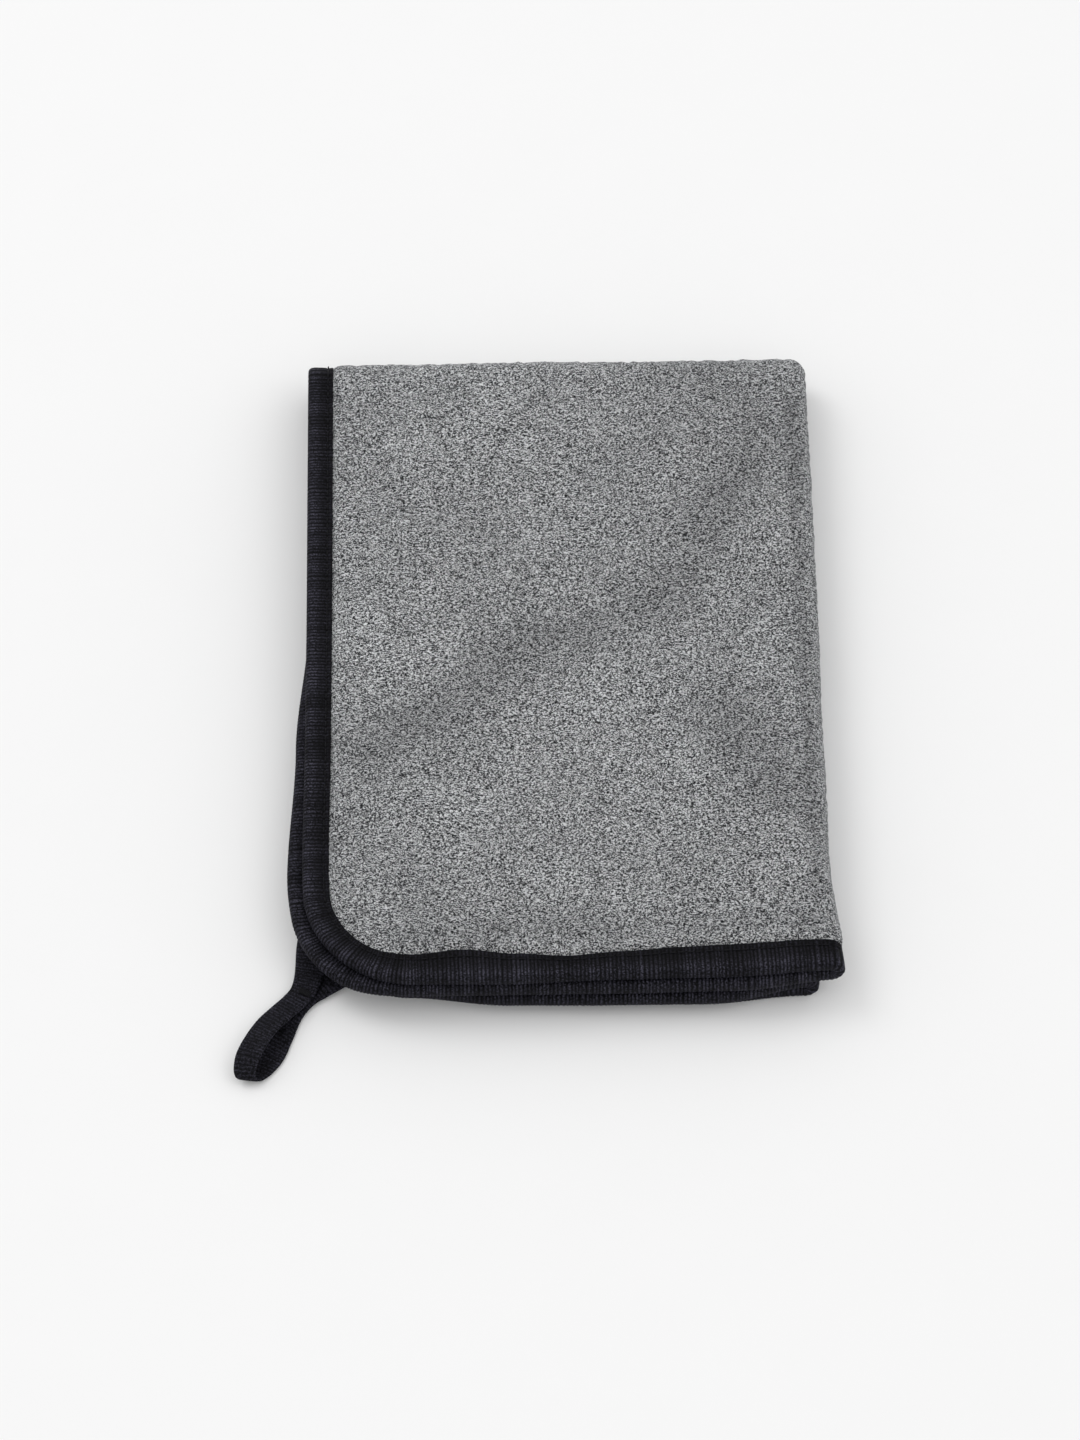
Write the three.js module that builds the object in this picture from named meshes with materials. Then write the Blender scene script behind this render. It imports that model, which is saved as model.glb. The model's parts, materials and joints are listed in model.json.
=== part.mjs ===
// A plush two-ply drying cloth with a bound edge and a hanging loop, folded in quarters.
//
// The cloth is folded once across its width (the first fold, along +X), and the folded strip is
// then folded once across its length (the second fold, along +Y). That leaves four layers in two
// halves: the lower half lies still, and the upper half opens about the second fold.
//
// Units are millimetres, +Z is up, and the origin is the middle of the face the cloth lies on.

import * as THREE from 'three';

// Cloth
const clothWidth = 400; // flat, across the first fold
const clothLength = 600; // flat, across the second fold
const plyThickness = 2.4; // one ply with its pile
const plyGap = 0.2; // between the backs of the two plies
const layerGap = 1.0; // left open between two folded layers
const cornerRadius = 40;

// The hand-folded cloth isn't quite square: its two inner layers stand out past the outer two.
const sideOverhang = 3;
const frontOverhang = 4;

// Binding tape, folded over the edge of both plies and sewn through
const bindingWidth = 10;
const tapeThickness = 0.8;
const edgeBevel = 1.3; // rounds the folded edge of the tape
const edgeClearance = 0.3; // between the tape's fold and the edge of the plies
const pliedEdge = 2.6; // thickness of the two plies, pressed flat inside the tape
const pileRamp = 2.0; // where the pile rises again beside the tape
const seamInset = 2.0; // from the tape's inner edge to the middle of the seam
const seamGroove = { width: 1.6, depth: 0.45 };
const thread = { width: 1.0, thickness: 0.25, sunk: 0.1 };

// Hanging loop: a tape doubled back on itself, sewn to a corner of the bottom layer
const loopAngle = THREE.MathUtils.degToRad(240); // the way it points, from +X
const loopShift = -18.5; // sideways, from the middle of the corner
const loopTape = { width: 9.5, thickness: 1.4 };
const loopLength = 51; // from the corner's outline to its tip
const loopHeight = 9.2;
const loopRest = 0.1; // under its lower run
const loopHinge = 15; // from the corner's outline to the place where it bends
const loopBase = { left: 16.5, right: 8.5, shoulder: 6, low: 0.2, high: 3.8 };
const tack = { teeth: 7, pitch: 1.2, height: 2.4, wire: 0.7, thickness: 0.4, start: 5.5, gap: 0.1 };
const touchGap = 0.3; // between pieces that meet

// How finely the curves are stepped
const firstFoldSteps = 8;
const secondFoldSteps = 6;
const cornerSteps = 6;
const loopSteps = 44;
const baseSteps = 8;

const layerThickness = 2 * plyThickness + plyGap;
const layerPitch = layerThickness + layerGap;
const halfThickness = 2 * layerThickness + layerGap;
const firstFoldRadius = layerPitch / 2; // at the middle of a layer
const secondFoldRadius = layerPitch; // at the middle of a half
const firstFoldArc = (firstFoldRadius * Math.PI) / 2;
const secondFoldArc = (secondFoldRadius * Math.PI) / 2;
const halvesGap = touchGap;
const middleHeight = secondFoldRadius + halfThickness / 2 + halvesGap / 2;

const innerReach = { u: (clothWidth + sideOverhang) / 2, v: (clothLength + frontOverhang) / 2 };
const outerReach = { u: (clothWidth - sideOverhang) / 2, v: (clothLength - frontOverhang) / 2 };
const foldedWidth = innerReach.u - firstFoldArc + halfThickness / 2;
const foldedDepth = innerReach.v - secondFoldArc + secondFoldRadius + halfThickness / 2;
const firstFoldX = foldedWidth / 2 - halfThickness / 2;
const secondFoldY = foldedDepth / 2 - secondFoldRadius - halfThickness / 2;

const UPPER = 1;
const LOWER = -1;

const fleece = new THREE.MeshStandardMaterial({ color: 0x7f8182, roughness: 0.95, metalness: 0 });
const backFleece = new THREE.MeshStandardMaterial({ color: 0x747677, roughness: 0.95, metalness: 0 });
const tape = new THREE.MeshStandardMaterial({ color: 0x1f1f24, roughness: 0.8, metalness: 0 });
const sewing = new THREE.MeshStandardMaterial({ color: 0x141417, roughness: 0.6, metalness: 0 });

// Where a point of the flat cloth lies once it is folded. u is measured across the first fold and
// is negative on the outer layer; v is measured from the second fold; offset is the distance from
// the middle of the layer, positive towards the side that shows.
function foldedPoint(half, u, v, offset) {
  const reach = firstFoldRadius + offset;
  const turn = THREE.MathUtils.clamp(-u / firstFoldRadius, -Math.PI / 2, Math.PI / 2);
  const beyond = Math.max(Math.abs(u) - firstFoldArc, 0);
  const x = firstFoldX + reach * Math.cos(turn) - beyond;
  const rise = secondFoldRadius + reach * Math.sin(turn);
  const lift = Math.min(v / secondFoldRadius, Math.PI / 2);
  const y = secondFoldY + rise * Math.cos(lift) - Math.max(v - secondFoldArc, 0);
  const z = middleHeight + half * (halvesGap / 2 + rise * Math.sin(lift));
  return new THREE.Vector3(x, y, z);
}

// The edge of one half, as a function of the inset from it: down the outer layer's side from the
// second fold, round its corner, along the front over the first fold, and back up the inner side.
function edgeStations() {
  const side = (sign, reach) => Array.from({ length: secondFoldSteps + 1 }, (_, i) => {
    const v = (secondFoldArc * i) / secondFoldSteps;
    return (inset) => [sign * (reach.u - inset), v];
  });
  const corner = (sign, reach) => Array.from({ length: cornerSteps + 1 }, (_, i) => {
    const angle = ((Math.PI / 2) * i) / cornerSteps;
    return (inset) => {
      const radius = cornerRadius - inset;
      const u = sign * (reach.u - cornerRadius + radius * Math.cos(angle));
      return [u, reach.v - cornerRadius + radius * Math.sin(angle)];
    };
  });
  const front = Array.from({ length: firstFoldSteps + 1 }, (_, i) => {
    const share = i / firstFoldSteps;
    const u = firstFoldArc * (2 * share - 1);
    const reach = THREE.MathUtils.lerp(outerReach.v, innerReach.v, share);
    return (inset) => [u, reach - inset];
  });
  return [
    ...side(-1, outerReach),
    ...corner(-1, outerReach),
    ...front,
    ...corner(1, innerReach).reverse(),
    ...side(1, innerReach).reverse(),
  ];
}

const stations = edgeStations();
const rowCount = secondFoldSteps + 1; // stations up each side of the second fold
const columns = stations.length - 2 * rowCount; // stations round the corners and the front

function geometryFrom(points, triangles) {
  const geometry = new THREE.BufferGeometry();
  geometry.setAttribute('position', new THREE.Float32BufferAttribute(points.flatMap((p) => p.toArray()), 3));
  geometry.setIndex(triangles);
  geometry.computeVertexNormals();
  return geometry;
}

// The flat layout of a ply: rings of points that follow the edge, then a grid inside them.
function plyLayout(insets) {
  const flat = [];
  const quads = [];
  const rings = insets.map((inset) => stations.map((station) => flat.push([...station(inset), inset]) - 1));
  for (let ring = 0; ring + 1 < rings.length; ring++) {
    for (let i = 0; i + 1 < stations.length; i++) {
      quads.push([rings[ring][i], rings[ring][i + 1], rings[ring + 1][i + 1], rings[ring + 1][i]]);
    }
  }
  const inner = rings[rings.length - 1];
  const deepest = insets[insets.length - 1];
  const grid = [];
  for (let column = 0; column < columns; column++) {
    const front = inner[rowCount + column];
    const line = [];
    for (let row = 0; row < rowCount; row++) {
      if (column === 0) line.push(inner[row]);
      else if (column === columns - 1) line.push(inner[stations.length - 1 - row]);
      else line.push(flat.push([flat[front][0], (secondFoldArc * row) / secondFoldSteps, deepest]) - 1);
    }
    line.push(front);
    grid.push(line);
  }
  for (let column = 0; column + 1 < columns; column++) {
    for (let row = 0; row < rowCount; row++) {
      const here = grid[column];
      const next = grid[column + 1];
      quads.push([here[row], here[row + 1], next[row + 1], next[row]]);
    }
  }
  return { flat, quads };
}

// A closed solid between two offsets of the same layout. Each offset is a function of the inset.
function slab(half, layout, lowOffset, highOffset) {
  const { flat, quads } = layout;
  const high = flat.map(([u, v, inset]) => foldedPoint(half, u, v, highOffset(inset)));
  const low = flat.map(([u, v, inset]) => foldedPoint(half, u, v, lowOffset(inset)));
  const count = flat.length;
  const triangles = [];
  const open = new Map();
  const addQuad = (a, b, c, d) => {
    if (half === UPPER) triangles.push(a, b, c, a, c, d);
    else triangles.push(a, c, b, a, d, c);
  };
  for (const quad of quads) {
    const [a, b, c, d] = quad;
    addQuad(a, b, c, d);
    addQuad(a + count, d + count, c + count, b + count);
    quad.forEach((from, i) => {
      const to = quad[(i + 1) % quad.length];
      if (!open.delete(`${to},${from}`)) open.set(`${from},${to}`, [from, to]);
    });
  }
  for (const [from, to] of open.values()) addQuad(to, from, from + count, to + count);
  return geometryFrom([...high, ...low], triangles);
}

// A closed solid of one section, a list of [inset, offset] points, carried along the whole edge.
function edgeSweep(half, section) {
  const size = section.length;
  const points = stations.flatMap((station) =>
    section.map(([inset, offset]) => foldedPoint(half, ...station(inset), offset)),
  );
  const triangles = [];
  const addTriangle = (a, b, c) => (half === UPPER ? triangles.push(a, c, b) : triangles.push(a, b, c));
  for (let i = 0; i + 1 < stations.length; i++) {
    for (let k = 0; k < size; k++) {
      const a = i * size + k;
      const b = i * size + ((k + 1) % size);
      addTriangle(a, b + size, b);
      addTriangle(a, a + size, b + size);
    }
  }
  const cap = THREE.ShapeUtils.triangulateShape(section.map(([s, d]) => new THREE.Vector2(s, d)), []);
  const last = (stations.length - 1) * size;
  for (const [a, b, c] of cap) {
    addTriangle(a, b, c);
    addTriangle(last + a, last + c, last + b);
  }
  return geometryFrom(points, triangles);
}

// Both plies are pressed thin inside the tape, and rise to their full pile beside it.
function ply(half, side) {
  const slot = bindingWidth + touchGap;
  const insets = [tapeThickness + edgeClearance, slot, slot + pileRamp];
  const surface = (inset) => (inset > slot ? layerThickness / 2 : pliedEdge / 2);
  const middle = plyGap / 2;
  const low = side > 0 ? () => middle : (inset) => -surface(inset);
  const high = side > 0 ? surface : () => -middle;
  return slab(half, plyLayout(insets), low, high);
}

// The tape's section: a channel that wraps the edge, with a shallow groove for the seam on each face.
function bindingSection() {
  const face = layerThickness / 2;
  const inside = face - tapeThickness;
  const seam = bindingWidth - seamInset;
  const groove = [seam - seamGroove.width / 2, seam + seamGroove.width / 2];
  const floor = face - seamGroove.depth;
  const upperFace = [
    [bindingWidth, inside],
    [bindingWidth, face],
    [groove[1], face],
    [groove[1], floor],
    [groove[0], floor],
    [groove[0], face],
    [edgeBevel, face],
    [0, face - edgeBevel],
  ];
  const lowerFace = upperFace.map(([inset, offset]) => [inset, -offset]).reverse();
  return [...upperFace, ...lowerFace, [tapeThickness, -inside], [tapeThickness, inside]];
}

// One thread of the lock stitch that runs in the tape's groove, on the side given.
function seamSection(side) {
  const face = layerThickness / 2 - thread.sunk;
  const seam = bindingWidth - seamInset;
  const left = seam - thread.width / 2;
  const right = seam + thread.width / 2;
  const section = [
    [right, face - thread.thickness],
    [right, face],
    [left, face],
    [left, face - thread.thickness],
  ];
  return side > 0 ? section : section.map(([inset, offset]) => [inset, -offset]).reverse();
}

// The loop's own frame: out from the corner, sideways, and up.
const loopOut = new THREE.Vector2(Math.cos(loopAngle), Math.sin(loopAngle));
const loopSide = new THREE.Vector2(-loopOut.y, loopOut.x);
const cornerCentre = new THREE.Vector2(
  firstFoldX + firstFoldArc - outerReach.u + cornerRadius,
  secondFoldY + secondFoldArc - outerReach.v + cornerRadius,
);
const loopStart = cornerCentre.clone()
  .addScaledVector(loopOut, cornerRadius)
  .addScaledVector(loopSide, loopShift);

function loopPoint(out, side, up) {
  const plan = loopStart.clone().addScaledVector(loopOut, out).addScaledVector(loopSide, side);
  return new THREE.Vector3(plan.x, plan.y, up);
}

// The free part of the loop: out along the top, round the tip and back along the table. Each point
// of its route is a share of the loop's length and of its height.
function hangingLoop() {
  const half = loopTape.thickness / 2;
  const start = loopHinge + touchGap;
  const top = loopHeight - half;
  const bottom = half + loopRest;
  const route = new THREE.CatmullRomCurve3([
    loopPoint(start, 0, loopBase.high - half),
    loopPoint(loopLength * 0.44, 0, top * 0.68),
    loopPoint(loopLength * 0.62, 0, top),
    loopPoint(loopLength * 0.82, 0, top * 0.94),
    loopPoint(loopLength * 0.97, 0, top * 0.62),
    loopPoint(loopLength - half, 0, top * 0.35),
    loopPoint(loopLength * 0.94, 0, bottom + loopRest),
    loopPoint(loopLength * 0.82, 0, bottom),
    loopPoint(loopLength * 0.5, 0, bottom),
    loopPoint(start, 0, bottom + loopRest),
  ], false, 'catmullrom', 0.5);
  return tapeAlong(route, loopSteps);
}

// A flat tape swept along a route that lies in one upright plane, its width square to that plane.
function tapeAlong(route, steps) {
  const across = new THREE.Vector3(loopSide.x, loopSide.y, 0);
  const points = [];
  for (let i = 0; i <= steps; i++) {
    const middle = route.getPointAt(i / steps);
    const normal = new THREE.Vector3().crossVectors(across, route.getTangentAt(i / steps)).normalize();
    for (const [side, out] of [[1, 1], [-1, 1], [-1, -1], [1, -1]]) {
      points.push(middle.clone()
        .addScaledVector(across, (side * loopTape.width) / 2)
        .addScaledVector(normal, (out * loopTape.thickness) / 2));
    }
  }
  const triangles = [];
  for (let i = 0; i < steps; i++) {
    for (let k = 0; k < 4; k++) {
      const a = i * 4 + k;
      const b = i * 4 + ((k + 1) % 4);
      triangles.push(a, b + 4, b, a, a + 4, b + 4);
    }
  }
  const last = steps * 4;
  triangles.push(0, 1, 2, 0, 2, 3, last, last + 2, last + 1, last, last + 3, last + 2);
  return geometryFrom(points, triangles);
}

// The sewn end of the loop: both ends of its tape, spread apart along the corner's edge.
function hangingLoopBase() {
  const radius = cornerRadius + touchGap;
  const outline = new THREE.Shape();
  const corner = (out, side) => {
    const p = loopPoint(out, side, 0);
    return [p.x, p.y];
  };
  const angleAt = (side) => loopAngle + Math.asin((side + loopShift) / radius);
  const narrow = loopTape.width / 2;
  outline.moveTo(...corner(loopHinge, -narrow));
  outline.lineTo(...corner(loopHinge, narrow));
  outline.lineTo(...corner(loopBase.shoulder, loopBase.right));
  outline.absarc(
    cornerCentre.x, cornerCentre.y, radius, angleAt(loopBase.right), angleAt(-loopBase.left), true,
  );
  outline.closePath();
  const depth = loopBase.high - loopBase.low;
  return new THREE.ExtrudeGeometry(outline, { depth, bevelEnabled: false, curveSegments: baseSteps })
    .translate(0, 0, loopBase.low);
}

// The zigzag bar of thread that holds the loop's two ends together.
function loopBarTack() {
  const zigzag = (shift) => Array.from({ length: tack.teeth + 1 }, (_, i) => {
    const side = (i - tack.teeth / 2) * tack.pitch;
    const out = tack.start + (i % 2 ? tack.height : 0) + shift;
    const p = loopPoint(out, side, 0);
    return new THREE.Vector2(p.x, p.y);
  });
  const outline = new THREE.Shape([...zigzag(0), ...zigzag(tack.wire).reverse()]);
  return new THREE.ExtrudeGeometry(outline, { depth: tack.thickness, bevelEnabled: false })
    .translate(0, 0, loopBase.high + tack.gap);
}

const part = new THREE.Group();

function add(name, geometry, material) {
  const mesh = new THREE.Mesh(geometry, material);
  mesh.name = name;
  part.add(mesh);
}

for (const [name, half] of [['lower', LOWER], ['upper', UPPER]]) {
  add(`${name}_face_ply`, ply(half, 1), fleece);
  add(`${name}_back_ply`, ply(half, -1), backFleece);
  add(`${name}_binding_tape`, edgeSweep(half, bindingSection()), tape);
  add(`${name}_needle_thread`, edgeSweep(half, seamSection(1)), sewing);
  add(`${name}_bobbin_thread`, edgeSweep(half, seamSection(-1)), sewing);
}
add('hanging_loop_base', hangingLoopBase(), tape);
add('loop_bar_tack', loopBarTack(), sewing);
add('hanging_loop', hangingLoop(), tape);

export default part;
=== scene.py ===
"""A plush drying cloth, folded in quarters, with a bound edge and a hanging loop.

The cloth is folded once across its width and then once across its length, so it lies in four
layers. Every fabric piece is worked out flat and then folded by one function, fold(), so that the
plies, the tape and the stitches stay together. Lengths are in metres.
"""

import json
import math

import bpy
import numpy as np
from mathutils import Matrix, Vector


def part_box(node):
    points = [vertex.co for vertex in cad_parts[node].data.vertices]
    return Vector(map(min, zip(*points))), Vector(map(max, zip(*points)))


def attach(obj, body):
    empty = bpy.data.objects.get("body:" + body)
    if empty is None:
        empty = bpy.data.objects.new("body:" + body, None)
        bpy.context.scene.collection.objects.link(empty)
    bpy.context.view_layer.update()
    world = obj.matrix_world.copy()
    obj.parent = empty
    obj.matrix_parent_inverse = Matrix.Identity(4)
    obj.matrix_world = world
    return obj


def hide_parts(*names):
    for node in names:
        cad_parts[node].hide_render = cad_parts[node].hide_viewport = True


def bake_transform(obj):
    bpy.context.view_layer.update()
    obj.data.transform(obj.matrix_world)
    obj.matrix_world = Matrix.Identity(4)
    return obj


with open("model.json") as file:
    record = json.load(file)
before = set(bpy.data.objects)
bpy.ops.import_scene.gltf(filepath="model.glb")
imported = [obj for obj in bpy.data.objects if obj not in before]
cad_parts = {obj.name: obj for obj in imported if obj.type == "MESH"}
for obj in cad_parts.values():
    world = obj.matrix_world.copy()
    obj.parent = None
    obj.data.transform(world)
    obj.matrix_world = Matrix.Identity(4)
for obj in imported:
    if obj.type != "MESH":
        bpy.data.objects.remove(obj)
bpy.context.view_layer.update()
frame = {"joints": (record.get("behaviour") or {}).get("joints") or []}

MM = 0.001

# The folded cloth, from the frame: its layers, the radius and the arc of each fold, where the folds
# lie, and how far the flat cloth goes from them. FACE is half a layer.
upper_low, upper_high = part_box("upper_binding_tape")
lower_low, lower_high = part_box("lower_binding_tape")
MIDDLE_HEIGHT = (lower_high.z + upper_low.z) / 2
HALVES_GAP = upper_low.z - lower_high.z
LAYER_GAP = 1.0 * MM
FIRST_RADIUS = (upper_high.z - MIDDLE_HEIGHT - HALVES_GAP / 2 + LAYER_GAP / 2) / 4
SECOND_RADIUS = 2 * FIRST_RADIUS
LAYER_THICKNESS = 2 * FIRST_RADIUS - LAYER_GAP
FACE = LAYER_THICKNESS / 2
FIRST_ARC = FIRST_RADIUS * math.pi / 2
SECOND_ARC = SECOND_RADIUS * math.pi / 2
FIRST_FOLD_X = upper_high.x - FIRST_RADIUS - FACE
SECOND_FOLD_Y = upper_high.y - SECOND_RADIUS - FIRST_RADIUS - FACE
INNER_U = FIRST_FOLD_X + FIRST_ARC - upper_low.x
INNER_V = SECOND_FOLD_Y + SECOND_ARC - upper_low.y

# The outer layers go round the inner ones, so they end a little short of them.
OUTER_U = INNER_U - 3.0 * MM
OUTER_V = INNER_V - 4.0 * MM

CORNER_RADIUS = 40.0 * MM
BINDING_WIDTH = 10.0 * MM
TAPE_THICKNESS = 0.8 * MM
PLY_GAP = 0.2 * MM  # between the two plies of a layer
PLIED_EDGE = 2.6 * MM  # how thick both plies are together, inside the tape
HEM = TAPE_THICKNESS + 0.3 * MM  # how far in from the edge of the cloth a ply ends
GROOVE = BINDING_WIDTH - 2.0 * MM  # how far in from the edge the stitches run
RIB_PITCH = 1.5 * MM
STATION_STEP = RIB_PITCH / 5  # between the rings of points along a tape
UNDER_FILL = 0.42 * MM  # how much fuller the tape is on its back, where two layers touch

ROUNDING = 1e-6  # more than any rounding in a sum, and too small to see
FLOOR_GAP = 0.05 * MM  # under the lowest tufts, which the floor presses flat

UPPER = -1  # the sign of v on the half that opens
LOWER = 1


def smooth(low, high, x):
    """0 below low, 1 above high and an even curve between them."""
    share = np.clip((x - low) / (high - low), 0, 1)
    return share * share * (3 - 2 * share)


def along(values, share):
    """A smooth curve through evenly spaced values, at shares from 0 to 1."""
    place = np.clip(share, 0, 1) * (len(values) - 1)
    low = np.minimum(place.astype(int), len(values) - 2)
    step = smooth(0, 1, place - low)
    values = np.array(values)
    return values[low] * (1 - step) + values[low + 1] * step


def noise(x, y, seed):
    """Smooth random values from -1 to 1, whose features are about one unit across."""
    size = 512
    table = np.random.default_rng(seed).uniform(-1, 1, (size, size))
    column = np.floor(x).astype(int)
    row = np.floor(y).astype(int)
    across = smooth(0, 1, x - column)
    up = smooth(0, 1, y - row)

    def corner(i, j):
        return table[(column + i) % size, (row + j) % size]

    near = corner(0, 0) * (1 - across) + corner(1, 0) * across
    far = corner(0, 1) * (1 - across) + corner(1, 1) * across
    return near * (1 - up) + far * up


# How far the hand-folded cloth strays from a true fold, in millimetres. Side and fold values run
# from the last fold to the front, front values from the first fold to the open side.
SIDE_STRAY = {
    (UPPER, "outer"): [0, 0, 0, 0.3, 1.0, -1.5],
    (UPPER, "inner"): [-4, -4, -3.5, 1.0, 3.9, -3.5],
    (LOWER, "inner"): [-5, -5, -5, -4.5, -3, -4],
    (LOWER, "outer"): [-1, -1, -1, -1, -1, -1],
}
FRONT_STRAY = {
    (UPPER, "outer"): [-4.0, -1.5, -1.0, 0.4, 0, 0],
    (UPPER, "inner"): [-4.0, -3.0, -2.5, -2.5, -2.5, 3.5],
    (LOWER, "inner"): [-5.0, -1.5, -1.5, -2.0, -6, -8],
    (LOWER, "outer"): [-4.5, -1.2, -1.5, -2.0, -6, -8],
}
FOLD_STRAY = {
    UPPER: [0.3, 0.6, 0.8, 0.3, 0.4, 4.5],
    LOWER: [0, 0.2, 0, -0.6, -1.5, -5.0],
}

# How wide the tape looks along the top layer's front, from the first fold to the open side, in
# millimetres.
FRONT_BAND = [12, 12.5, 12.7, 12, 10.8, 9.6, 11.5, 13.6, 11.5, 10.2, 10]


def stray(table, half, u, share):
    """How far points at u stray, in metres, at a share of the way along the rows of one table."""
    outer = along(table[half, "outer"], share)
    inner = along(table[half, "inner"], share)
    return np.where(u < 0, outer, inner) * MM


def fold(half, u, v, offset):
    """Where points of the flat cloth lie once it is folded, as an array of rows x, y, z.

    u runs across the first fold and is negative on the outer layer. v runs from the last fold and
    is never negative. offset is from the middle of the layer, positive on the side that shows.
    """
    reach = FIRST_RADIUS + offset
    turn = np.clip(-u / FIRST_RADIUS, -math.pi / 2, math.pi / 2)
    across = np.maximum(np.abs(u) - FIRST_ARC, 0)
    down = np.maximum(v - SECOND_ARC, 0)
    across_share = across / (INNER_U - FIRST_ARC)
    down_share = down / (INNER_V - SECOND_ARC)
    x = FIRST_FOLD_X + reach * np.cos(turn) - across
    x = x - stray(SIDE_STRAY, half, u, down_share) * across_share
    x = x + along(FOLD_STRAY[half], down_share) * MM * (1 - across_share) ** 2
    rise = SECOND_RADIUS + reach * np.sin(turn)
    lift = np.minimum(v / SECOND_RADIUS, math.pi / 2)
    y = SECOND_FOLD_Y + rise * np.cos(lift) - down
    y = y - stray(FRONT_STRAY, half, u, across_share) * down_share
    z = MIDDLE_HEIGHT - half * (HALVES_GAP / 2 + rise) * np.sin(lift)
    return np.stack([x, y, np.maximum(z, FLOOR_GAP)], axis=-1)


def reach_of(u):
    """How far the cloth goes along u, and how far along v, at that u."""
    past_fold = 40 * MM
    side = np.where(u < 0, OUTER_U, INNER_U)
    front = OUTER_V + (INNER_V - OUTER_V) * smooth(-FIRST_ARC, past_fold, u)
    return side, front


def inset_of(u, v):
    """The distance from the edge of the cloth."""
    side, front = reach_of(u)
    beyond_u = np.abs(u) - (side - CORNER_RADIUS)
    beyond_v = v - (front - CORNER_RADIUS)
    round_the_corner = CORNER_RADIUS - np.hypot(np.maximum(beyond_u, 0), np.maximum(beyond_v, 0))
    straight = CORNER_RADIUS - np.maximum(beyond_u, beyond_v)
    return np.where((beyond_u > 0) & (beyond_v > 0), round_the_corner, straight)


def band_width(half, u, v):
    """The width of the tape at points near the edge."""
    if half == LOWER:
        return np.full_like(u, BINDING_WIDTH)
    side, front = reach_of(u)
    change = 10 * MM
    on_front = smooth(-change, change, (side - np.abs(u)) - (front - v))
    wide = along(FRONT_BAND, np.abs(u) / OUTER_U) * MM
    return np.where(u < 0, BINDING_WIDTH + (wide - BINDING_WIDTH) * on_front, BINDING_WIDTH)


def pinch(v):
    """How thick the bound edge is where it goes round the last fold, as a share of the rest."""
    thinner = 0.25
    back_to_full = 14 * MM
    return 1 - thinner * (1 - smooth(0, back_to_full, v))


def unit(vectors):
    """The same directions, each of length one."""
    return vectors / np.linalg.norm(vectors, axis=-1, keepdims=True)


def scaled(vector, values):
    """The vector once for each value, scaled by it."""
    return np.asarray(values)[..., None] * vector


def turned_over(faces):
    """The same faces, seen from their other side."""
    return [face[::-1] for face in faces]


def tube_faces(rings, sides):
    """The faces of a tube of rings, each with the same number of points, and its two caps."""
    index = np.arange(rings * sides).reshape(rings, sides)
    after = np.roll(index, -1, axis=1)
    quads = np.stack([index[:-1], after[:-1], after[1:], index[1:]], axis=-1).reshape(-1, 4)
    return [*quads.tolist(), index[0].tolist()[::-1], index[-1].tolist()]


def make_object(name, points, faces, material, sharp=75):
    """A smooth mesh object, except where its faces meet at more than sharp degrees."""
    mesh = bpy.data.meshes.new(name)
    mesh.from_pydata(np.asarray(points).tolist(), [], faces)
    mesh.update()
    mesh.polygons.foreach_set("use_smooth", [True] * len(mesh.polygons))
    mesh.set_sharp_from_angle(angle=math.radians(sharp))
    mesh.materials.append(material)
    made = bpy.data.objects.new(name, mesh)
    bpy.context.scene.collection.objects.link(made)
    return made


def paint(made, name, values):
    """Stores one number for each vertex, which the material reads by that name."""
    attribute = made.data.attributes.new(name, "FLOAT", "POINT")
    attribute.data.foreach_set("value", np.asarray(values, dtype=np.float32).reshape(-1))


# Materials

def node(tree, kind, settings=None, **inputs):
    """A shader node. settings are its own properties, and inputs are values or sockets.

    An input goes by its name, with _ for a space, or by _ and its number.
    """
    made = tree.nodes.new(kind)
    for key, value in (settings or {}).items():
        setattr(made, key, value)
    for key, value in inputs.items():
        numbered = key[0] == "_"
        socket = made.inputs[int(key[1:]) if numbered else key.replace("_", " ")]
        if isinstance(value, bpy.types.NodeSocket):
            tree.links.new(value, socket)
        else:
            socket.default_value = value
    return made


def new_material(name, **settings):
    """A material, its node tree, its shader with those settings, and the place on the object."""
    material = bpy.data.materials.new(name)
    material.use_nodes = True
    tree = material.node_tree
    shader = tree.nodes["Principled BSDF"]
    for key, value in settings.items():
        shader.inputs[key.replace("_", " ")].default_value = value
    place = node(tree, "ShaderNodeTexCoord").outputs["Object"]
    return material, tree, shader, place


def noise_node(tree, place, scale, **inputs):
    """A noise texture, with scale in features per metre."""
    return node(tree, "ShaderNodeTexNoise", None, Vector=place, Scale=scale, **inputs)


def ramp(tree, fac, *stops):
    """The colour that fac has on a ramp through stops of (position, colour)."""
    made = node(tree, "ShaderNodeValToRGB", None, Fac=fac)
    elements = made.color_ramp.elements
    first, *middle, last = stops
    for element, (position, colour) in zip(elements, (first, last)):
        element.position = position
        element.color = (*colour, 1)
    for position, colour in middle:
        elements.new(position).color = (*colour, 1)
    return made.outputs["Color"]


def mixed(tree, share, first, second):
    """Two numbers mixed, with that share of the second."""
    return node(tree, "ShaderNodeMix", {"data_type": "FLOAT"}, _0=share, _2=first, _3=second).outputs[0]


def times_painted(tree, colour, name):
    """A colour times the number that paint() stored under that name."""
    painted = node(tree, "ShaderNodeAttribute", {"attribute_name": name}).outputs["Color"]
    settings = {"data_type": "RGBA", "blend_type": "MULTIPLY"}
    return node(tree, "ShaderNodeMix", settings, _0=1.0, _6=colour, _7=painted).outputs[2]


def surface(tree, shader, colour, height, distance, strength):
    """Gives the shader its colour, and bumps it by height."""
    bump = node(tree, "ShaderNodeBump", None, Height=height, Distance=distance, Strength=strength)
    tree.links.new(colour, shader.inputs["Base Color"])
    tree.links.new(bump.outputs[0], shader.inputs["Normal"])


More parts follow.
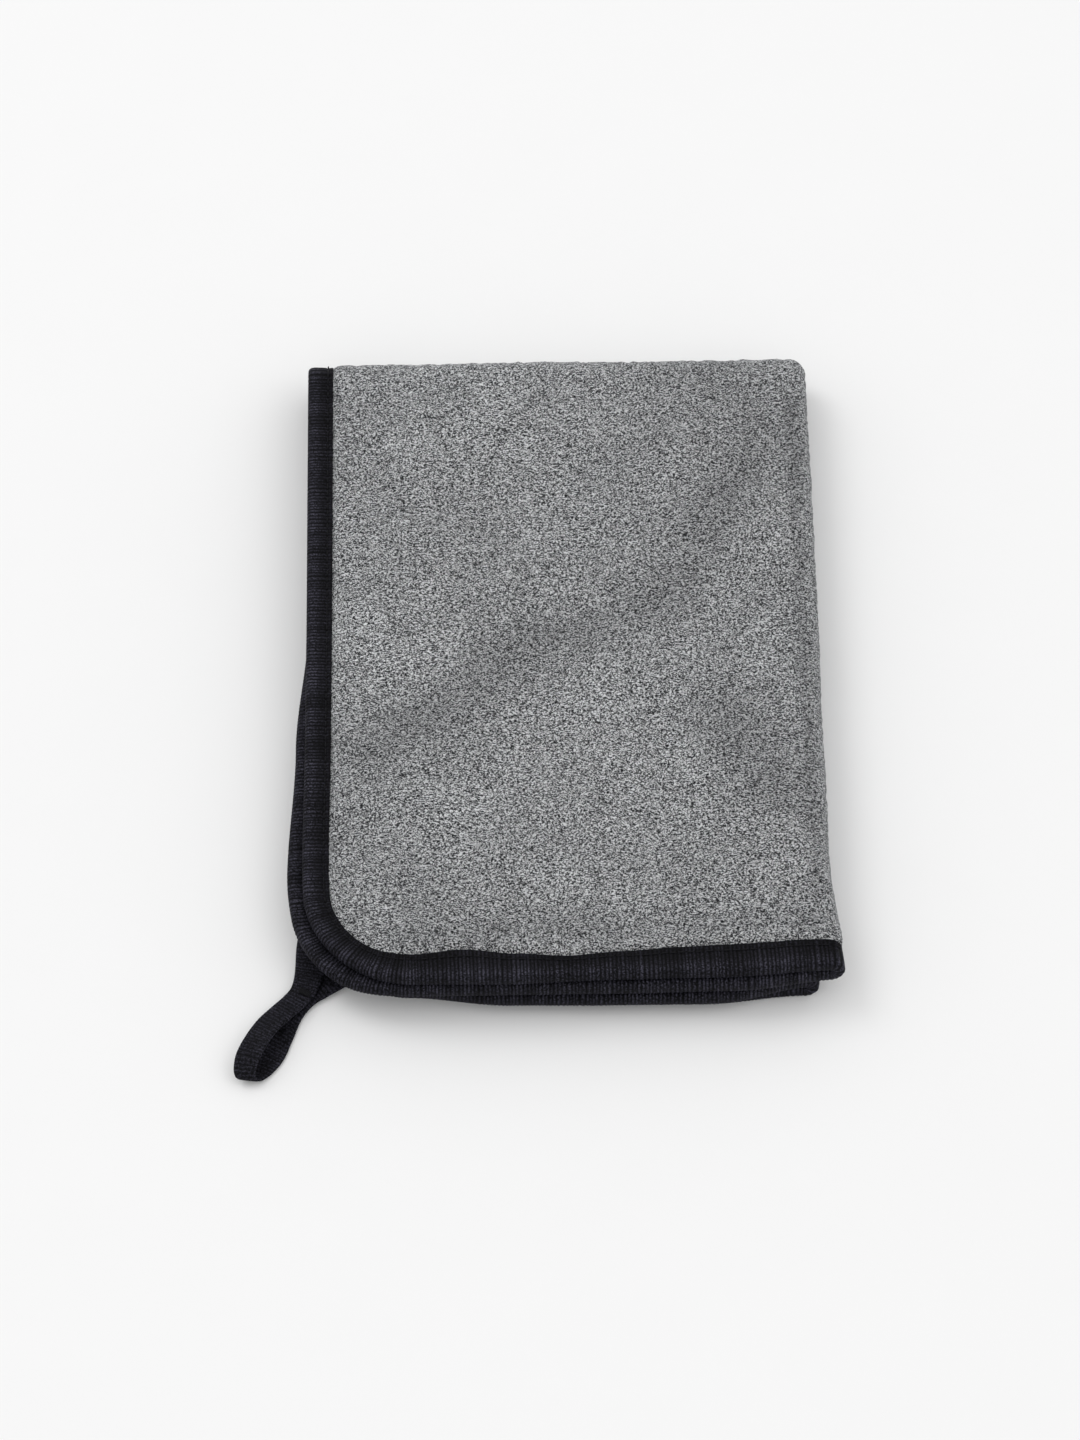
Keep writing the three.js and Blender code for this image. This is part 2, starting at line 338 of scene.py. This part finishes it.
def fleece_material(name, tint):
    """Dense plush pile: fine tufts with painted shade in the gaps between them and painted light on their
    tips, and soft patches of painted light and shade from turned pile.
    """
    material, tree, shader, place = new_material(
        name, Roughness=0.95, Specular_IOR_Level=0.1, Sheen_Weight=0.2, Sheen_Roughness=0.6,
        Sheen_Tint=(0.8, 0.83, 0.88, 1),
    )
    drift = noise_node(tree, place, 24.0, Detail=1.0).outputs["Color"]
    wander = node(tree, "ShaderNodeVectorMath", {"operation": "SCALE"}, _0=drift, Scale=0.007)
    bent = node(tree, "ShaderNodeVectorMath", {"operation": "ADD"}, _0=place, _1=wander.outputs[0])
    stretched = node(tree, "ShaderNodeMapping", None, Vector=bent.outputs[0], Scale=(0.7, 1, 1)).outputs[0]
    tufts = noise_node(tree, stretched, 2000.0, Detail=0.0, Distortion=1.1).outputs["Fac"]
    clumps = noise_node(tree, stretched, 480.0, Detail=1.0).outputs["Fac"]
    height = mixed(tree, 0.08, tufts, clumps)
    # The colour follows the bump height: painted shade in the gaps between tufts and painted light on
    # their tips.
    shaded_gap, half_lit, lit = ([brightness * c for c in tint] for brightness in (0.008, 0.15, 0.76))
    shade = ramp(tree, height, (0.42, shaded_gap), (0.5, half_lit), (0.58, lit))
    surface(tree, shader, times_painted(tree, shade, "nap_light_and_shade"), height, 0.0012, 1.0)
    return material


def tape_material(name):
    """Black knitted tape with a faint blue sheen; its colour is multiplied by painted light and shade,
    with highlights on the ribs and shade between them.
    """
    material, tree, shader, place = new_material(
        name, Specular_IOR_Level=0.08, Sheen_Weight=0.015, Sheen_Roughness=0.4,
        Sheen_Tint=(0.7, 0.75, 1.0, 1),
    )
    yarn = noise_node(tree, place, 1500.0, Detail=2.0, Roughness=0.6).outputs["Fac"]
    # Slow patches of wear and painted highlights, mixed into the grain of the yarn.
    wear_and_highlights = noise_node(tree, place, 60.0, Detail=3.0).outputs["Fac"]
    worn_and_highlit = mixed(tree, 0.15, yarn, wear_and_highlights)
    shade = ramp(tree, worn_and_highlit, (0.40, (0.001, 0.001, 0.0014)), (0.62, (0.027, 0.0262, 0.0362)))
    surface(tree, shader, times_painted(tree, shade, "tape_light_and_shade"), yarn, 0.0003, 0.5)
    rough = node(tree, "ShaderNodeMapRange", None, Value=yarn, _1=0.3, _2=0.7, _3=0.6, _4=0.8)
    tree.links.new(rough.outputs[0], shader.inputs["Roughness"])
    return material


def thread_material(name):
    """Twisted polyester sewing thread, slightly glossier than the tape."""
    material, tree, shader, place = new_material(name, Roughness=0.6, Specular_IOR_Level=0.12)
    twist = noise_node(tree, place, 2600.0, Detail=1.0).outputs["Fac"]
    shade = ramp(tree, twist, (0, (0.003, 0.003, 0.004)), (1, (0.011, 0.011, 0.013)))
    surface(tree, shader, shade, twist, 0.0001, 0.6)
    return material


def floor_material(name):
    """White paper, with the faintest unevenness."""
    material, tree, shader, place = new_material(name, Roughness=0.9, Specular_IOR_Level=0.1)
    speckle = noise_node(tree, place, 30.0, Detail=2.0).outputs["Fac"]
    shade = ramp(tree, speckle, (0, (0.895, 0.895, 0.895)), (1, (0.905, 0.905, 0.905)))
    tree.links.new(shade, shader.inputs["Base Color"])
    return material


# Plies

def lines(parts):
    """Grid lines: each part is (end, spacing), starting where the last one ended."""
    made = [parts[0]]
    for end, spacing in parts[1:]:
        start = made[-1]
        count = max(1, round(abs(end - start) / spacing))
        made.extend(start + (end - start) * (i + 1) / count for i in range(count))
    return np.array(made)


def from_the_fold(parts):
    """Lines along v, closest together at the last fold, where the cloth bends as it opens."""
    crowded = 2 * MM
    count = 16
    crowding = 1.8
    first = crowded * (np.arange(count) / count) ** crowding
    return np.concatenate([first, lines([crowded, *parts])])


def pile(half, u, v):
    """The height of the tufts over the smooth pile."""
    signed = half * v
    turn = 0.6 * noise(u / 0.05, signed / 0.05, 11)
    along_nap = u * np.cos(turn) + signed * np.sin(turn)
    across_nap = signed * np.cos(turn) - u * np.sin(turn)
    tuft = noise(along_nap / (2.6 * MM), across_nap / (1.7 * MM), 12)
    clump = noise(along_nap / (5.5 * MM), across_nap / (4.0 * MM), 13)
    billow = noise(u / 0.035, signed / 0.035, 14)
    return (0.38 * tuft + 0.16 * clump + 0.35 * billow) * MM


# Painted light and shade on the top layer: soft strokes where the pile, stroked different ways, catches
# the light differently, and darker lines along the left and front edges and by the right fold. Each is the
# middle line of a soft stroke, its half width, both in millimetres over the folded cloth, and its
# strength.
LIGHT_AND_SHADE_STROKES = [
    ([(-76, -44), (-14, 6), (45, 30), (76, 95)], 13, -0.24), ([(66, -26), (82, -60)], 14, -0.24),
    ([(-60, 2), (-80, 10)], 16, 0.16), ([(-45, 112), (-10, 118)], 20, 0.08),
    ([(-20, -62), (35, -60)], 24, 0.05), ([(50, 130), (98, 125)], 24, -0.13),
    ([(-96, 130), (-92, -90)], 5, -0.22), ([(95, 125), (96, -110)], 3.5, -0.26),
    ([(-60, -128), (95, -124)], 6, -0.18),
]


def from_line(x, y, line):
    """The distance from points to a line of straight runs."""
    nearest = np.full_like(x, np.inf)
    for (x0, y0), (x1, y1) in zip(line, line[1:]):
        run_x, run_y = x1 - x0, y1 - y0
        share = np.clip(((x - x0) * run_x + (y - y0) * run_y) / (run_x ** 2 + run_y ** 2), 0, 1)
        nearest = np.minimum(nearest, np.hypot(x - x0 - share * run_x, y - y0 - share * run_y))
    return nearest


def nap_light_and_shade(half, u, v, points):
    """How bright the pile looks: painted light and shade, in soft random patches and in strokes, where the
    pile was stroked different ways.
    """
    signed = half * v
    bright = 1 + 0.05 * noise(u / 0.045, signed / 0.045, 21) + 0.05 * noise(u / 0.018, signed / 0.018, 22)
    if half == LOWER:
        return bright
    for line, width, strength in LIGHT_AND_SHADE_STROKES:
        away = from_line(points[..., 0] / MM, points[..., 1] / MM, line)
        bright = bright + np.where(u < 0, strength * np.exp(-((away / width) ** 2)), 0)
    return bright


def kept_lines(bent):
    """Which grid lines the hidden side of a ply keeps: one in six, and every one through a fold."""
    thinning = 6
    last = len(bent) - 1
    return [i for i in range(len(bent)) if i % thinning == 0 or i == last or bent[i]]


def ply_lines(step):
    """The grid lines of a ply along u and v, closer together by its edge and through its folds."""
    by_edge = 0.75 * step
    inner_layer = 2 * step
    bend = 0.85 * MM
    edge = 14 * MM
    us = lines([
        -(OUTER_U - HEM), (-(OUTER_U - edge), by_edge), (-FIRST_ARC, step), (FIRST_ARC, bend),
        (INNER_U - edge, inner_layer), (INNER_U - HEM, step),
    ])
    vs = from_the_fold([(SECOND_ARC, bend), (OUTER_V - edge, step), (OUTER_V - HEM, by_edge)])
    return us, vs


def flat_ply(us, vs):
    """The points u, v of a flat ply on those grid lines, drawn in at its corners to a round."""
    u, share = np.meshgrid(us, vs / vs[-1], indexing="ij")
    side, front = reach_of(u)
    v = share * (front - HEM)
    beyond_u = np.maximum(np.abs(u) - (side - CORNER_RADIUS), 0)
    beyond_v = np.maximum(v - (front - CORNER_RADIUS), 0)
    doubled_square = 2 * (CORNER_RADIUS - HEM) ** 2
    round_u = beyond_u * np.sqrt(1 - beyond_v ** 2 / doubled_square)
    round_v = beyond_v * np.sqrt(1 - beyond_u ** 2 / doubled_square)
    return u - np.sign(u) * (beyond_u - round_u), v - (beyond_v - round_v)


def pile_surface(half, side, u, v):
    """How far a ply's pile reaches from the middle of its layer.

    It is thin inside the tape, stands up where it shows, and is pressed flat by another layer.
    """
    ragged = 0.9 * MM * noise(u / (1.6 * MM), half * v / (1.6 * MM), 15)
    free = smooth(-0.4 * MM, 2.2 * MM, inset_of(u, v) - band_width(half, u, v) + ragged)
    tufts = pile(half, u, v)
    loose = FACE + 0.5 * MM + tufts
    pressed = FACE - 0.1 * MM + 0.4 * tufts
    shows = 1 - smooth(-FIRST_ARC, FIRST_ARC, u) if side > 0 else np.zeros_like(u)
    hemmed = PLIED_EDGE / 2 * pinch(v)
    return hemmed + (pressed + (loose - pressed) * shows - hemmed) * free


def slab(outside, inside, keep_u, keep_v):
    """The points and faces of a closed slab between two grids of points.

    The outside keeps every point, and the inside only the grid lines in keep_u and keep_v, so a
    face of the rim has several points on one side.
    """
    count_u, count_v = outside.shape[:2]
    index = np.arange(count_u * count_v).reshape(count_u, count_v)
    back = {}
    for i in keep_u:
        for j in keep_v:
            back[i, j] = index.size + len(back)
    points = np.concatenate([outside.reshape(-1, 3), [inside[place] for place in back]])
    quads = np.stack([index[:-1, :-1], index[1:, :-1], index[1:, 1:], index[:-1, 1:]], axis=-1)
    faces = quads.reshape(-1, 4).tolist()
    for i0, i1 in zip(keep_u, keep_u[1:]):
        for j0, j1 in zip(keep_v, keep_v[1:]):
            faces.append([back[i0, j0], back[i0, j1], back[i1, j1], back[i1, j0]])

    def rim(keep, place, turned):
        for start, end in zip(keep, keep[1:]):
            outer = [int(index[place(k)]) for k in range(end, start - 1, -1)]
            face = [*outer, back[place(start)], back[place(end)]]
            faces.append(face[::-1] if turned else face)

    rim(keep_u, lambda k: (k, 0), False)
    rim(keep_v, lambda k: (count_u - 1, k), False)
    rim(keep_u, lambda k: (k, count_v - 1), True)
    rim(keep_v, lambda k: (0, k), True)
    return points, faces


def ply(name, half, side, material, step):
    """One ply over one half, as a closed slab. side is 1 for the face ply and -1 for the back."""
    us, vs = ply_lines(step)
    u, v = flat_ply(us, vs)
    outside = fold(half, u, v, side * pile_surface(half, side, u, v))
    inside = fold(half, u, v, np.full_like(u, side * PLY_GAP / 2))
    keep_u = kept_lines(np.abs(us) <= FIRST_ARC + ROUNDING)
    keep_v = kept_lines(vs <= SECOND_ARC + ROUNDING)
    points, faces = slab(outside, inside, keep_u, keep_v)
    if (half == UPPER) != (side > 0):
        faces = turned_over(faces)
    made = make_object(name, points, faces, material)
    # The outside points carry the pile's painted light and shade; the inside points keep 1.
    bright = np.ones(len(points))
    bright[:u.size] = nap_light_and_shade(half, u, v, outside).reshape(-1)
    paint(made, "nap_light_and_shade", bright)
    return made


# Binding

def edge_path(step):
    """Stations along the edge of one half: their places, the ways in, and the lengths so far."""
    corner_steps = round(CORNER_RADIUS * math.pi / 2 / step)

    def side(sign, reach):
        vs = from_the_fold([(reach[1] - CORNER_RADIUS, step)])[:-1]
        return [(sign * reach[0], v, -sign, 0) for v in vs]

    def corner(sign, reach):
        made = []
        for i in range(corner_steps):
            angle = math.pi / 2 * i / corner_steps
            cos, sin = math.cos(angle), math.sin(angle)
            made.append((
                sign * (reach[0] - CORNER_RADIUS + CORNER_RADIUS * cos),
                reach[1] - CORNER_RADIUS + CORNER_RADIUS * sin, -sign * cos, -sin,
            ))
        return made

    outer = (OUTER_U, OUTER_V)
    inner = (INNER_U, INNER_V)
    front_us = np.arange(-(OUTER_U - CORNER_RADIUS), INNER_U - CORNER_RADIUS, step)
    front = [(u, float(reach_of(np.array(u))[1]), 0, -1) for u in front_us]
    far = side(1, inner) + corner(1, inner)
    rows = np.array(side(-1, outer) + corner(-1, outer) + front + far[::-1])
    length = np.concatenate([[0], np.cumsum(np.hypot(*np.diff(rows[:, :2], axis=0).T))])
    return rows[:, :2], rows[:, 2:], length


def ribs(length):
    """How far the tape's ribs stand out along it, from 0 to 1, at a pitch that wanders a little."""
    wander = 0.45 * noise(length / (4 * MM), 0 * length, 34)
    return np.abs(np.sin(math.pi * (length / RIB_PITCH + wander))) ** 0.7


def tape_section():
    """The outline of the tape across the edge, from its inner side over the top and back below.

    Each row is how far in from the edge, how far from the middle, and how strongly the ribs show.
    Only the top has a crown.
    """
    inside = FACE - TAPE_THICKNESS
    crown = (GROOVE - 2.4 * MM, FACE, 1)
    top = [
        (BINDING_WIDTH - 0.2 * MM, inside, 0), (BINDING_WIDTH, FACE - 0.45 * MM, 0.2),
        (BINDING_WIDTH - 0.4 * MM, FACE - 0.12 * MM, 0.6), (GROOVE + 0.75 * MM, FACE - 0.2 * MM, 0.6),
        (GROOVE, FACE - 0.6 * MM, 0.2), (GROOVE - 0.9 * MM, FACE - 0.12 * MM, 0.9), crown,
        (GROOVE - 4.4 * MM, FACE + 0.1 * MM, 1), (2.2 * MM, FACE + 0.12 * MM, 1),
        (1.1 * MM, FACE - 0.15 * MM, 1), (0.4 * MM, FACE - 0.8 * MM, 1), (0.05 * MM, FACE - 1.6 * MM, 1),
    ]
    edge = (0.0, 0.0, 1)
    below = [(inset, -offset, rib) for inset, offset, rib in top[::-1] if inset != crown[0]]
    lining = [(TAPE_THICKNESS, -inside, 0), (TAPE_THICKNESS, inside, 0)]
    return np.array([*top, edge, *below, *lining])


def tape_surface(half, places, inward, rib):
    """The folded points of the tape, a ring of them for each station along the edge."""
    inset, offset, ribbed = tape_section().T
    turned_in = 3 * MM
    swell = 0.32 * MM * (rib[:, None] - 0.75) * ribbed
    away_in = np.minimum(inset - turned_in, 0)
    away = np.maximum(np.hypot(away_in, offset), ROUNDING)
    wider = band_width(half, *(places + inward * BINDING_WIDTH).T) - BINDING_WIDTH
    flat_share = np.maximum(inset - turned_in, 0) / (BINDING_WIDTH - turned_in)
    depth = inset + swell * (away_in / away) + flat_share * wider[:, None]
    height = (offset + swell * (offset / away)) * pinch(places[:, 1])[:, None]
    height = height - UNDER_FILL * np.clip(-offset / FACE, 0, 1)
    u = places[:, :1] + inward[:, :1] * depth
    v = places[:, 1:] + inward[:, 1:] * depth
    return fold(half, u, v, height)


def binding_tape(name, half, material):
    """A ribbed tape wrapped round the edge, with a stitched groove near its inner side."""
    places, inward, length = edge_path(STATION_STEP)
    rib = ribs(length)
    points = tape_surface(half, places, inward, rib)
    faces = tube_faces(*points.shape[:2])
    if half == UPPER:
        faces = turned_over(faces)
    made = make_object(name, points.reshape(-1, 3), faces, material, sharp=120)
    inset = tape_section()[:, 0]
    # Painted shade on the inner part of the tape, which slopes down to the seam under the pile, and a
    # painted highlight along the ridge near the outer edge.
    low = 1.0 - 0.5 * smooth(3.8 * MM, 6.2 * MM, inset)
    ridge_highlight = 1 + 0.5 * np.exp(-(((inset - 2.2 * MM) / (1.4 * MM)) ** 2))
    still = 0 * length
    # Painted light and shade on the ribs: dark in their valleys and light on their tops, varied at random
    # along the tape.
    uneven = 1 + 0.4 * noise(length / (2.2 * MM), still, 31) + 0.1 * noise(length / (9 * MM), still, 32)
    paint(made, "tape_light_and_shade", (uneven * (0.05 + 1.5 * rib ** 2.4))[:, None] * (low * ridge_highlight))
    return made


def stitches(name, half, side, material):
    """The stitches of one thread, each a short rounded bar that dips at both ends."""
    places, inward, length = edge_path(0.42 * MM)
    pitch = 3.3 * MM
    bar = 2.7 * MM
    radius = 0.3 * MM
    blunt = 0.2  # the share of the radius that an end keeps
    rings, sides = 7, 6
    count = int(length[-1] / pitch)
    share = np.linspace(-1, 1, rings)
    at = (np.arange(count)[:, None] + 0.5) * pitch + share * bar / 2
    u, v = (np.interp(at, length, column)[..., None] for column in places.T)
    in_u, in_v = (np.interp(at, length, column)[..., None] for column in inward.T)
    wider = band_width(half, u + in_u * BINDING_WIDTH, v + in_v * BINDING_WIDTH) - BINDING_WIDTH
    middle = GROOVE + 0.72 * wider
    thick = radius * np.sqrt(np.maximum(1 - share ** 2, blunt ** 2))[:, None]
    height = FACE - 0.33 * MM + 0.12 * MM * (1 - share ** 2)[:, None]
    angles = np.linspace(0, 2 * math.pi, sides, endpoint=False)
    inset = middle + thick * np.cos(angles)
    offset = height + thick * np.sin(angles)
    points = fold(half, u + in_u * inset, v + in_v * inset, side * offset)
    one_bar = tube_faces(rings, sides)
    faces = []
    for first in range(0, count * rings * sides, rings * sides):
        faces.extend([first + k for k in face] for face in one_bar)
    if (half == UPPER) != (side > 0):
        faces = turned_over(faces)
    return make_object(name, points.reshape(-1, 3), faces, material, sharp=180)


# Hanging loop

swing = next(joint for joint in frame["joints"] if joint["name"] == "loop_swing")
PIVOT = np.array([*swing["pos_m"][:2], 0])
SIDEWAYS = -np.array([*swing["axis"][:2], 0])
OUTWARD = np.array([SIDEWAYS[1], -SIDEWAYS[0], 0])
UPWARD = np.array([0, 0, 1])


def loop_place(out, side, up):
    """Points in the loop's own frame: out from its hinge, sideways, and up from the floor."""
    return PIVOT + scaled(OUTWARD, out) + scaled(SIDEWAYS, side) + scaled(UPWARD, up)


def spline(points, step):
    """A smooth curve through the points, cut into even steps."""
    points = np.array(points)
    steps_per_run = 24
    extended = np.concatenate([[2 * points[0] - points[1]], points, [2 * points[-1] - points[-2]]])
    share = np.linspace(0, 1, steps_per_run, endpoint=False)[:, None]
    pieces = []
    for p0, p1, p2, p3 in zip(extended, extended[1:], extended[2:], extended[3:]):
        pieces.append(0.5 * (
            2 * p1 + (p2 - p0) * share + (2 * p0 - 5 * p1 + 4 * p2 - p3) * share ** 2
            + (3 * p1 - p0 - 3 * p2 + p3) * share ** 3
        ))
    curve = np.concatenate([*pieces, points[-1:]])
    length = np.concatenate([[0], np.cumsum(np.linalg.norm(np.diff(curve[:, :3], axis=0), axis=1))])
    even = np.linspace(0, length[-1], round(length[-1] / step) + 1)
    return np.stack([np.interp(even, length, curve[:, k]) for k in range(curve.shape[1])], axis=-1), even


# The loop's route, from one sewn end to the other: out from its hinge, sideways and up in
# millimetres, then which way the tape heads in plan and how far it leans over, in degrees, and
# half its width in millimetres, which spreads at the sewn ends.
LOOP_ROUTE = [
    (-33, -10.5, 3.4, 20, 0, 6.6), (-24, -7.0, 3.4, 20, 0, 6.2), (-14, -2.8, 3.3, 16, 0, 5.4),
    (-7, -1.1, 3.3, 8, 2, 4.9), (-1, -1.6, 3.6, -4, 4, 4.7), (6, -2.9, 4.6, -8, 8, 4.8),
    (14, -3.9, 6.4, -8, 12, 5.0), (22, -3.9, 7.4, -2, 12, 5.0), (30, -3.2, 7.2, 8, 8, 4.8),
    (35.2, -1.6, 5.8, 20, 4, 4.3), (37.0, -0.2, 4.0, 24, 0, 3.9), (35.4, 1.0, 2.1, 18, 0, 4.2),
    (30, 2.0, 1.1, 8, 0, 4.6), (22, 2.6, 0.9, 0, 0, 4.7), (12, 1.2, 0.9, -6, 0, 4.6),
    (2, -0.4, 1.1, -10, 0, 4.6), (-6, 0.2, 1.4, -18, 0, 5.0), (-12, 1.8, 1.5, -24, 0, 6.0),
    (-22, 5.4, 1.6, -26, 0, 7.4), (-30, 8.4, 1.6, -26, 0, 7.6),
]


def hanging_loop(name, material):
    """One ribbed tape along LOOP_ROUTE, whose section is a bar with rounded corners."""
    sides = 22
    route, length = spline(LOOP_ROUTE, STATION_STEP / MM)
    heading, lean = np.radians(route[:, 3:5]).T
    half_width = route[:, 5] * MM
    half_thick = 0.72 * MM
    middle = loop_place(*(route[:, :3].T * MM))
    tangent = unit(np.gradient(middle, axis=0))
    level = scaled(OUTWARD, -np.sin(heading)) + scaled(SIDEWAYS, np.cos(heading))
    width = level * np.cos(lean)[:, None] + scaled(UPWARD, np.sin(lean))
    normal = unit(np.cross(tangent, width))
    angles = np.linspace(0, 2 * math.pi, sides, endpoint=False)
    flat = np.sign(np.cos(angles)) * np.abs(np.cos(angles)) ** 0.75
    high = np.sign(np.sin(angles)) * np.abs(np.sin(angles)) ** 0.45 * half_thick
    rib = ribs(length * MM)
    swell = 1 + 0.32 * (rib - 0.75)
    across = half_width[:, None] * flat
    thick = swell[:, None] * high
    points = middle[:, None] + width[:, None] * across[..., None] + normal[:, None] * thick[..., None]
    points[..., 2] = np.maximum(points[..., 2], FLOOR_GAP)
    faces = tube_faces(*points.shape[:2])
    made = make_object(name, points.reshape(-1, 3), faces, material, sharp=120)
    # Painted light and shade on the ribs: dark in their valleys and light on their tops, varied at random
    # along the tape, and lighter towards the edges of its width.
    uneven = 1 + 0.25 * noise(length / 2.2, 0 * length, 33)
    paint(made, "tape_light_and_shade", (uneven * (0.15 + 1.2 * rib ** 1.4))[:, None] * (0.7 + 0.5 * np.abs(flat)))
    return made


def bar_tack(name, material):
    """A tight zigzag of thread across the loop's two ends."""
    turns = 15
    sides = 8
    radius = 0.22 * MM
    zigzag = [(-7.6 + 2.4 * (i % 2), -2.2 + 4.6 * i / turns, 4.35) for i in range(turns + 1)]
    route, _ = spline(zigzag, 0.25)
    middle = loop_place(*(route.T * MM))
    tangent = unit(np.gradient(middle, axis=0))
    across = unit(np.cross(UPWARD, tangent))
    angles = np.linspace(0, 2 * math.pi, sides, endpoint=False)
    round_it = scaled(across[:, None], np.cos(angles)) + scaled(UPWARD, np.sin(angles))
    points = middle[:, None] + radius * round_it
    faces = turned_over(tube_faces(*points.shape[:2]))
    return make_object(name, points.reshape(-1, 3), faces, material, sharp=180)


# Camera, light and floor

def camera():
    """The photograph's view: 55 degrees up, from about two and a half metres, with a long lens."""
    azimuth, elevation = math.radians(-0.9), math.radians(54.7)
    distance = 2.46
    to_right, above = 7.2 * MM, 17.5 * MM  # how far the origin lies off the middle of the view
    level = math.cos(elevation)
    back = Vector((math.sin(azimuth) * level, -math.cos(azimuth) * level, math.sin(elevation)))
    right = Vector((math.cos(azimuth), math.sin(azimuth), 0))
    up = back.cross(right)
    aim = Vector((0, 0, MIDDLE_HEIGHT)) - to_right * right - above * up
    data = bpy.data.cameras.new("camera")
    data.lens = 157.5
    made = bpy.data.objects.new("camera", data)
    made.location = aim + back * distance
    made.rotation_mode = "QUATERNION"
    made.rotation_quaternion = (-back).to_track_quat("-Z", "Y")
    bpy.context.scene.collection.objects.link(made)
    bpy.context.scene.camera = made


def area_light(name, place, size, power):
    """A round soft light that faces the origin."""
    data = bpy.data.lights.new(name, "AREA")
    data.shape = "DISK"
    data.size = size
    data.energy = power
    made = bpy.data.objects.new(name, data)
    made.location = place
    made.rotation_mode = "QUATERNION"
    made.rotation_quaternion = (-Vector(place)).to_track_quat("-Z", "Y")
    bpy.context.scene.collection.objects.link(made)


def studio():
    """An even white surround, a key light behind on the left, a fill on the right, and the floor."""
    light_size = 3.0
    scene = bpy.context.scene
    world = bpy.data.worlds.new("studio")
    world.use_nodes = True
    background = world.node_tree.nodes["Background"]
    background.inputs["Color"].default_value = (1, 1, 1, 1)
    background.inputs["Strength"].default_value = 0.885
    scene.world = world
    scene.view_settings.view_transform = "Standard"
    area_light("key", (-2.9, 1.8, 4.4), light_size, 52)
    area_light("fill", (3.2, -1.2, 4.2), light_size, 14)
    bpy.ops.mesh.primitive_plane_add(size=8)
    floor = bpy.context.object
    floor.name = "floor"
    floor.data.materials.append(floor_material("floor_paint"))


# Assembly

def stands_for(piece, slot_name, *nodes):
    """Hides the CAD nodes that a piece stands for."""
    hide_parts(*nodes)


def bend_with_fold(piece):
    """Bakes a piece's placement into its mesh."""
    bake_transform(piece)


def cloth_half(word, half):
    """The binding, the two seam threads and the two plies of one half."""
    binding = binding_tape(word + "_binding", half, tape)
    stands_for(binding, "binding_tape", word + "_binding_tape")
    bend_with_fold(binding)
    threads = []
    for kind, side in (("needle", 1), ("bobbin", -1)):
        thread = stitches(f"{word}_{kind}_stitches", half, side, sewing)
        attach(thread, word + "_half")
        stands_for(thread, "thread", f"{word}_{kind}_thread")
        threads.append(thread)
    face = ply(word + "_face_fleece", half, 1, fleece, 1.05 * MM)
    back = ply(word + "_back_fleece", half, -1, back_fleece, 3.0 * MM)
    for piece, kind, sewn_on in ((face, "face", [binding, *threads]), (back, "back", [])):
        bend_with_fold(piece)
        stands_for(piece, kind + "_fleece", f"{word}_{kind}_ply")


def sewn_loop():
    """The hanging loop, and the thread that holds its ends."""
    loop = hanging_loop("loop_tape", tape)
    stands_for(loop, "binding_tape", "hanging_loop", "hanging_loop_base")
    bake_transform(loop)
    bar = bar_tack("loop_bar_stitches", sewing)
    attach(bar, "lower_half")
    stands_for(bar, "thread", "loop_bar_tack")


camera()
fleece = fleece_material("grey_fleece", (0.97, 0.985, 1.0))
back_fleece = fleece_material("grey_back_fleece", (0.88, 0.90, 0.92))
tape = tape_material("black_tape")
sewing = thread_material("black_thread")
cloth_half("lower", LOWER)
cloth_half("upper", UPPER)
sewn_loop()
studio()
